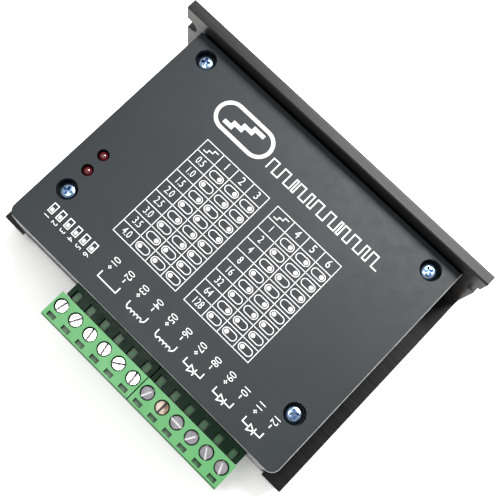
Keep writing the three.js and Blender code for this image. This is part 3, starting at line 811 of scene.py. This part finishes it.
def screw_light_and_stain(side, index):
    """Which copy of the plating a terminal screw gets: the motor side's is light as a painted reflection,
    the signal side's dark as painted shade, and one screw there is stained.
    """
    if side == "motor":
        return "lit_nickel"
    return "brown" if index == 1 else "shaded_nickel"


def make_terminal_screws(metals):
    """Slotted cheese heads, turned as a hand left them, each with its shank down to the clamp.
    metals gives the material of the head and of the slot's inside for each key: light and dark copies of one
    plating for painted reflection and painted shade, and a stained one."""
    for side, angles in SLOT_ANGLES.items():
        for i, angle in enumerate(angles):
            metal, slot_metal = metals[screw_light_and_stain(side, i)]
            node = f"{side}_terminal_screw_{i + 1}"
            low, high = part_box(node)
            centre = (low + high) / 2 / M
            top, tip, radius = high.z / M, low.z / M, TERMINAL_HEAD_RADIUS
            profile = [(0, tip), (0.9, tip), (1.2, tip + 0.4), (1.2, top - 1.3), (radius, top - 1.3),
                       (radius, top - 0.2), (radius - 0.06, top - 0.08), (radius - 0.22, top), (0, top)]
            mesh = mesh_from(lathe(profile), node + "_fine", 50.0)
            piece = new_piece(node + "_fine", mesh, [metal, slot_metal])
            boolean(piece, make_slot_cutter(top))
            # The slot's inside takes the second material: painted shade in the slots of the lit and the
            # stained screws, a painted highlight in those of the shaded screws.
            for face in piece.data.polygons:
                inside = abs(face.center.y) < (SLOT_HALF_WIDTH + 0.01) * M
                if inside and (top - 0.8) * M < face.center.z < (top - 0.05) * M:
                    face.material_index = 1
            spin = Matrix.Rotation(math.radians(angle), 4, "Z")
            piece.data.transform(Matrix.Translation((centre.x * M, centre.y * M, 0)) @ spin)
            stand_for(piece, node)


# ---------- lamps ----------
def make_lamps(lens, lead_metal):
    for name in ("power", "alarm"):
        node = "lamp_" + name
        low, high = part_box(node)
        centre = (low + high) / 2 / M
        radius, top = 1.35, high.z / M
        dome = [(radius * math.cos(a), top - radius + radius * math.sin(a)) for a in
                [math.pi / 2 * i / 10 for i in range(10)]]
        base = top - 5.2
        profile = [(0, base), (1.7, base), (1.8, base + 0.1), (1.8, base + 0.8), (1.7, base + 0.9),
                   (radius, base + 0.9), *dome, (0, top)]
        bm = lathe(profile, 40)
        for x in (-0.8, 0.8):
            add_box(bm, (x - 0.25, -0.25, low.z / M), (x + 0.25, 0.25, base), 0.05, 1)
        piece = new_piece(node + "_fine", mesh_from(bm, node + "_fine", 50.0), [lens, lead_metal])
        piece.data.transform(Matrix.Translation((centre.x * M, centre.y * M, 0)))
        stand_for(piece, node)


# ---------- capacitors ----------
def make_capacitors(sleeve, metal, ink):
    for name in ("left", "right"):
        node = "capacitor_" + name
        low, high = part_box(node)
        centre = (low + high) / 2 / M
        z0, z1 = low.z / M, high.z / M
        profile = [(0, z0), (4.7, z0), (5, z0 + 0.3), (5, z0 + 1.5), (4.72, z0 + 1.9), (5, z0 + 2.3),
                   (5, z1 - 0.5), (4.85, z1 - 0.12), (4.5, z1), (4.2, z1 - 0.15), (0, z1 - 0.15)]
        bm = lathe(profile)
        for face in bm.faces:
            spot = face.calc_center_median() / M
            if spot.z > z1 - 0.3 and math.hypot(spot.x, spot.y) < 4.3:
                face.material_index = 1
            elif math.atan2(spot.y, spot.x) > 2.3 and spot.z > z0 + 2.3:
                face.material_index = 2
        piece = new_piece(node + "_fine", mesh_from(bm, node + "_fine", 40.0), [sleeve, metal, ink])
        piece.data.transform(Matrix.Translation((centre.x * M, centre.y * M, 0)))
        stand_for(piece, node)


# ---------- board parts ----------
def make_small_parts(chip_black, ceramic, metal):
    """Chip resistors, capacitors and solder joints scattered in rows on the board."""
    bm = bmesh.new()
    rng = random.Random(4)
    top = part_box("circuit_board")[1].z / M
    tall = ("capacitor_", "optocoupler_", "board_screw_")
    taken = [middle(n) for n in frame["nodes"] if n.startswith(tall)]
    for column in range(17):
        for row in range(9):
            x = -32 + 4 * column + rng.uniform(-0.5, 0.5)
            y = FRONT_Y + 12 + 5 * row + rng.uniform(-0.5, 0.5)
            if any(abs(x - t.x) < 6.5 and abs(y - t.y) < 7.2 for t in taken) or rng.random() < 0.35:
                continue
            long_x = rng.random() < 0.5
            half = Vector((1.0, 0.6)) if long_x else Vector((0.6, 1.0))
            height = rng.choice((0.5, 0.8))
            kind = rng.choice((0, 1))
            add_box(bm, (x - half.x, y - half.y, top), (x + half.x, y + half.y, top + height), 0.06, kind)
            cap = Vector((0.3, half.y + 0.03)) if long_x else Vector((half.x + 0.03, 0.3))
            for side in (-1, 1):
                cx = x + side * half.x if long_x else x
                cy = y if long_x else y + side * half.y
                low = (cx - cap.x, cy - cap.y, top)
                high = (cx + cap.x, cy + cap.y, top + height + 0.03)
                add_box(bm, low, high, 0.06, 2)
    piece = new_piece("board_parts", mesh_from(bm, "board_parts"), [chip_black, ceramic, metal])
    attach(piece, "housing")


def make_header_pins(metal):
    """Tin-plated pins over the header's own, with rounded edges."""
    for side in ("motor", "signal"):
        low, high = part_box(side + "_terminal_header")
        centre = (low.x + high.x) / 2 / M
        tip = low.y / M + 1.1
        bm = bmesh.new()
        for i in range(6):
            x = centre + 5.08 * (i - 2.5)
            add_box(bm, (x - 0.53, tip - 0.04, 19.07), (x + 0.53, low.y / M + 7.9, 20.13), 0.16)
        piece = new_piece(side + "_header_pins", mesh_from(bm, side + "_header_pins"), [metal])
        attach(piece, "housing")


# ---------- assembly ----------
# Painted shade: below this height the heat sink takes a darker, less glossy copy of its anodising.
BASE_SHADE_TOP_Z = 13.0  # the heat sink is darker below this height
CHIP_LEAD_HEIGHT = 1.2
LEAD_REACH = 0.81  # how far an optocoupler's leads stand out of its body


def lead_or_body(split_z):
    """Material index: 1 below the height, 0 above it."""
    return lambda centre, normal: 1 if centre.z < split_z else 0


def leads_at_ends(low, high):
    """Material index: 1 on the leads at both ends along X, 0 on the body."""
    left, right = low.x + LEAD_REACH, high.x - LEAD_REACH
    return lambda centre, normal: 1 if centre.x < left or centre.x > right else 0


def cover_paint_and_highlight(centre, normal):
    """Material index: 1 on the rounding of the roof's front and right edges, which carries a painted
    highlight, 2 on the front wall, else 0.
    """
    if centre.z > TOP_Z - 0.6 and 0.2 < normal.z < 0.85 and normal.x > -0.3 and normal.y < 0.3:
        return 1
    return 2 if normal.y < -0.9 and centre.y < FRONT_Y + 0.1 else 0


def make_module():
    paint = make_cover_paint()
    # The heat sink's base takes a darker copy of the flange's anodising: painted shade under the cover's
    # roof.
    anodised = [
        make_anodised("anodised_flange", 1.0, 0.24, 0.35),
        make_anodised("anodised_base_shaded", 0.45, 0.12, 0.0),
    ]
    ink = make_ink()
    # The plugs' green darkens in their pockets, bores and gaps within 1 mm: painted shade.
    green = make_plastic("green_polyamide", (0.066, 0.270, 0.083), 0.4, corner=(0.001, 0.018, 0.004),
                         reach=0.0010, span=(0.54, 0.86))
    # The headers are the plugs' green plastic, given a near-black green as painted shade under the cover's
    # edge, darker still in corners within 6 mm.
    shaded_header_green = make_plastic("header_polyamide_painted_shade", (0.008, 0.062, 0.026), 0.38,
                              corner=(0.0008, 0.012, 0.005), reach=0.006, gloss=0.12)
    black_epoxy = make_plastic("black_epoxy", (0.018, 0.018, 0.02), 0.5)
    ceramic = make_plastic("ceramic", (0.30, 0.22, 0.13), 0.5)
    white = make_plastic("white_nylon", (0.72, 0.72, 0.68), 0.4)
    blue = make_plastic("blue_nylon", (0.02, 0.09, 0.35), 0.35)
    grey_pad = make_plastic("silicone_pad", (0.33, 0.35, 0.36), 0.8)
    # Light and dark copies of one nickel plating: the light one paints a reflection on the motor side's
    # screws, the dark one paints shade on the signal side's.
    lit_nickel = make_plated("nickel_lit", (0.60, 0.58, 0.585), (0.72, 0.70, 0.70), 0.3, scale=500)
    shaded_nickel = make_plated("nickel_shaded", (0.14, 0.135, 0.15), (0.21, 0.20, 0.215), 0.5, scale=500)
    brown = make_plated("nickel_tarnished", (0.26, 0.21, 0.17), (0.46, 0.38, 0.32), 0.5, (0.14, 0.09, 0.06))
    slot_shade = make_plated("nickel_slot", (0.20, 0.17, 0.185), (0.28, 0.25, 0.265), 0.5,
                             scale=700, metallic=0.2)
    # A light grey for the slots of the shaded screws: a painted highlight along the slot.
    slot_highlight = make_plated("nickel_slot_highlight", (0.60, 0.59, 0.60), (0.72, 0.71, 0.72), 0.4,
                         scale=700, metallic=0.2)
    zinc = make_plated("blue_zinc", (0.13, 0.24, 0.42), (0.50, 0.64, 0.84), 0.2, scale=1600)
    tin = make_plated("tin_plate", (0.55, 0.55, 0.54), (0.72, 0.72, 0.70), 0.35)
    lens = make_lens()
    board = make_board()

    softened("heatsink", 0.25, anodised, lead_or_body(BASE_SHADE_TOP_Z))
    # The second material paints a highlight on the rounding of the roof's front and right edges.
    walls = [paint, make_painted_edge_highlight(), make_cover_paint("cover_wall_paint", 0.16)]
    softened("cover", 0.2, walls, cover_paint_and_highlight, angle=50.0)
    make_print(ink)
    make_cover_screws(zinc)
    make_lamps(lens, tin)

    softened("circuit_board", 0.0, [board])
    softened("thermal_pad", 0.0, [grey_pad])
    chip_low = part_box("driver_chip")[0].z / M
    softened("driver_chip", 0.12, [black_epoxy, tin], lead_or_body(chip_low + CHIP_LEAD_HEIGHT))
    make_inner_screws(zinc)
    make_capacitors(black_epoxy, tin, white)
    for name in ("enable", "pulse", "direction"):
        node = "optocoupler_" + name
        box = [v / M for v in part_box(node)]
        softened(node, 0.08, [black_epoxy, tin], leads_at_ends(*box))
    for name in ("left", "right", "rear"):
        softened("board_spacer_" + name, 0.12, [tin])
    make_small_parts(black_epoxy, ceramic, tin)

    softened("setting_switch", 0.12, [blue])
    for i in range(6):
        softened(f"switch_slider_{i + 1}", 0.12, [white])
    for side in ("motor", "signal"):
        softened(side + "_terminal_header", 0.12, [shaded_header_green])
        softened(side + "_terminal_plug", 0.14, [green])
        for i in range(6):
            softened(f"{side}_wire_clamp_{i + 1}", 0.08, [tin])
    make_terminal_screws({"lit_nickel": [lit_nickel, slot_shade], "shaded_nickel": [shaded_nickel, slot_highlight], "brown": [brown, shaded_nickel]})
    make_header_pins(tin)


def make_studio():
    bpy.context.scene.view_settings.view_transform = "Standard"
    bm = bmesh.new()
    bmesh.ops.create_grid(bm, x_segments=8, y_segments=8, size=1.5)
    mesh = bpy.data.meshes.new("floor")
    bm.to_mesh(mesh)
    bm.free()
    floor = new_piece("floor", mesh, [make_floor_material()])
    make_world(0.6, 0.1)
    add_softbox("left_ceiling", (-0.145, -0.06, 0.97), (0, -0.03, 0), (0.14, 0.16), 2.0)
    add_softbox("rear", (0.05, 0.62, 1.0), (0, 0, 0), (0.5, 0.35), 18)


make_camera()
make_studio()
make_module()
